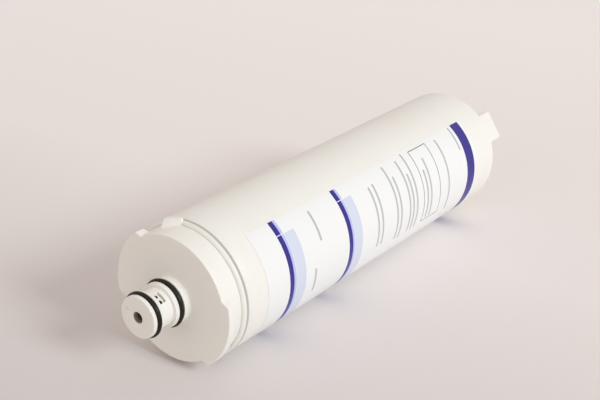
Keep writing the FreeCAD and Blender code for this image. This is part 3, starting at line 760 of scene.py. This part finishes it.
def make_floor():
    """Level sheet under the part, far wider than the view, with painted light: darker near the head end, and
    brighter and glowing to the camera farther along the part, in metres.
    """
    ends = [-FLOOR_REACH, FLOOR_REACH]
    x, y = np.meshgrid(ends, ends, indexing="ij")
    points = np.stack([x, y, np.full_like(x, FLOOR / MM)], axis=-1).reshape(-1, 3)
    mesh = bpy.data.meshes.new("floor")
    mesh.from_pydata((points * MM).tolist(), [], [(0, 2, 3, 1)])
    floor = bpy.data.objects.new("floor", mesh)
    bpy.context.scene.collection.objects.link(floor)
    material, tree, shader = new_material(
        "pale_paper", Specular_IOR_Level=0.0, Roughness=1.0, Emission_Color=PAINTED_FLOOR_GLOW)
    place = object_place(tree)
    colour = mixed(tree, noise(tree, place, scale=900.0), *PAPER_COLOURS)
    along = add(tree, "ShaderNodeSeparateXYZ", {}, {0: place}).outputs[0]
    # painted light: the floor darkens towards the head end, a painted falloff of the lamp and shade beside the head
    painted_falloff = ramp(tree, along, low=-0.08, high=0.22, to_low=0.78, to_high=1.0)
    # painted light: a glow seen only by the camera, brighter farther along the part
    painted_glow = ramp(tree, along, low=0.2, high=0.7, to_low=0.0, to_high=0.05)
    looked_at = add(tree, "ShaderNodeLightPath").outputs["Is Camera Ray"]
    feed(tree, shader, {
        "Base Color": mixed(tree, 1.0, colour, painted_falloff, "MULTIPLY"),
        "Emission Strength": product(tree, painted_glow, looked_at),
    })
    mesh.materials.append(material)


def aimed(way):
    """Turn of a lamp or camera that looks along a direction."""
    return Vector(way).to_track_quat("-Z", "Y").to_euler()


def soft_lamp(name, way, strength, spread, colour):
    """Distant lamp that shines one way over the whole floor, softened by its spread in degrees."""
    light = bpy.data.lights.new(name, "SUN")
    light.energy = strength
    light.angle = math.radians(spread)
    light.color = colour
    lamp = bpy.data.objects.new(name, light)
    lamp.rotation_euler = aimed(way)
    bpy.context.scene.collection.objects.link(lamp)


def make_world(light_colour, light_strength, seen_colour):
    """Even ambient light, with the pale background seen by the camera and in reflections."""
    world = bpy.data.worlds.new("studio")
    world.use_nodes = True
    tree = world.node_tree
    ambient = tree.nodes["Background"]
    ambient.inputs["Color"].default_value = light_colour
    ambient.inputs["Strength"].default_value = light_strength
    seen = add(tree, "ShaderNodeBackground", {}, {"Color": seen_colour, "Strength": 1.0})
    path = add(tree, "ShaderNodeLightPath").outputs
    looked_at = calc(tree, "MAXIMUM", path["Is Camera Ray"], path["Is Glossy Ray"])
    looked_at = calc(tree, "MAXIMUM", looked_at, path["Is Transmission Ray"])
    both = add(tree, "ShaderNodeMixShader", {}, {0: looked_at, 1: ambient.outputs[0], 2: seen.outputs[0]})
    feed(tree, tree.nodes["World Output"], {"Surface": both.outputs[0]})
    bpy.context.scene.world = world


CAMERA_LENS, SENSOR_WIDTH = 68.51, 36.0
CAMERA_PLACE = (-0.34144, -0.35912, 0.27747)
CAMERA_WAY = (0.7294, 0.5538, -0.4015)


def make_camera():
    """View from in front of the neck, above and to the label side."""
    camera = bpy.data.cameras.new("camera")
    camera.lens = CAMERA_LENS
    camera.sensor_width = SENSOR_WIDTH
    view = bpy.data.objects.new("camera", camera)
    view.location = CAMERA_PLACE
    view.rotation_euler = aimed(CAMERA_WAY)
    bpy.context.scene.collection.objects.link(view)
    bpy.context.scene.camera = view


def dress(piece, material):
    """Give a piece one material."""
    piece.data.materials.clear()
    piece.data.materials.append(material)


# Main and deep colour of each plastic
IVORY = (0.94, 0.925, 0.875, 1.0)
HOUSING_COLOURS = (IVORY, (0.91, 0.885, 0.825, 1.0))
HEAD_COLOURS = (IVORY, (0.915, 0.895, 0.84, 1.0))
ELEMENT_COLOURS = ((0.80, 0.80, 0.78, 1.0), (0.74, 0.74, 0.71, 1.0))
ADHESIVE_COLOURS = ((0.75, 0.70, 0.55, 1.0), (0.66, 0.60, 0.44, 1.0))
CARBON_COLOURS = ((0.010, 0.010, 0.010, 1.0), (0.045, 0.045, 0.045, 1.0))
FLEECE_COLOURS = ((0.72, 0.72, 0.70, 1.0), (0.88, 0.88, 0.86, 1.0))

# Painted shade in the joint, at the flange's foot, in the bore, on the slots' back walls and in the ports: colour,
# share, stations, distances
PAINTED_BORE_SHADE = (0.38, 0.345, 0.30, 1.0)
PAINTED_PORT_SHADE = (0.075, 0.062, 0.050, 1.0)
PAINTED_SHADE_GREY = (0.30, 0.265, 0.22, 1.0)
SEAM_INNER = 33.0
HOUSING_PAINTED_SHADE = [
    # painted shade in the joint: the housing's mouth chamfer darkened where the gap to the head falls in shade
    (PAINTED_SHADE_GREY, 0.45, MOUTH - 0.1, MOUTH + MOUTH_CHAMFER, SEAM_INNER, BODY_RADIUS - 0.05),
]
HEAD_PAINTED_SHADE = [
    # painted shade in the joint: the head's edge at the housing's mouth darkened where the gap falls in shade
    (PAINTED_SHADE_GREY, 0.7, MOUTH - 0.5, MOUTH + 0.1, SEAM_INNER, BODY_RADIUS - 0.1),
    # painted shade in the crease at the foot of the flange
    (PAINTED_SHADE_GREY, 0.35, FLANGE - 0.4, FLANGE + 0.05, FLANGE_ROOT - 0.3, FLANGE_ROOT + 0.3),
    # painted shade inside the outlet bore, which falls dark because it is deep
    (PAINTED_BORE_SHADE, 1.0, 0.3, SOCKET_FLOOR, 0.0, PASSAGE_RADIUS + 0.3),
    # painted shade on the back wall of the port slots, which faces away from the light
    (PAINTED_SHADE_GREY, 0.55, SLOT[1] - 0.35, SLOT[1] + 0.05, 0.0, WAIST_RADIUS - 0.2),
    # painted shade in the ports, deep holes that fall dark
    (PAINTED_PORT_SHADE, 1.0, *WAIST, 0.0, WAIST_RADIUS - SLOT_DEPTH - 0.15),
]

field_group = make_field_group()
plastic_groups = (make_moulding_group(), field_group)
housing_plastic = plastic(
    "housing_plastic", plastic_groups, HOUSING_COLOURS,
    roughness=0.42, grain=0.35, depth=0.25, subsurface=0.15, painted_shades=HOUSING_PAINTED_SHADE)
head_plastic = plastic(
    "head_plastic", plastic_groups, HEAD_COLOURS,
    roughness=0.40, grain=0.35, depth=0.25, subsurface=0.15, painted_shades=HEAD_PAINTED_SHADE)
element_plastic = plastic(
    "element_plastic", plastic_groups, ELEMENT_COLOURS, roughness=0.45, grain=0.5, depth=0.25)
adhesive = plastic("adhesive", plastic_groups, ADHESIVE_COLOURS, roughness=0.35, grain=0.2, depth=0.3)
seal_rubber = rubber("seal_rubber")
label_print = printed_film("label_print", field_group)
carbon = porous("carbon", *CARBON_COLOURS, scale=900.0, depth=0.4)
fleece = porous("fleece", *FLEECE_COLOURS, scale=1800.0, depth=0.5, Sheen_Weight=0.3)

dress(make_housing_shell(), housing_plastic)
dress(make_grip_bar(), housing_plastic)
dress(make_head(), head_plastic)
dress(make_label(), label_print)
for ring in ("front_neck_o_ring", "rear_neck_o_ring"):
    dress(make_seal(ring), seal_rubber)
finishes = {
    "carbon_block": carbon,
    "core_tube": element_plastic,
    "prefilter_wrap": fleece,
    "outer_net": element_plastic,
    "outlet_end_cap": element_plastic,
    "spigot_o_ring": seal_rubber,
    "closed_end_cap": element_plastic,
    "outlet_glue_ring": adhesive,
    "closed_glue_ring": adhesive,
}
for node, finish in finishes.items():
    dress(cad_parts[node], finish)

make_floor()
soft_lamp("key", way=(0.03, 2.55, -1.38), strength=1.38, spread=18.0, colour=(0.90, 1.0, 1.04))
soft_lamp("front", way=(1.30, -0.05, -0.36), strength=0.16, spread=40.0, colour=(1.0, 0.97, 0.94))
make_world(light_colour=(1.0, 0.91, 0.85, 1.0), light_strength=0.61, seen_colour=(0.83, 0.75, 0.73, 1.0))
make_camera()
bpy.context.scene.view_settings.view_transform = "Standard"
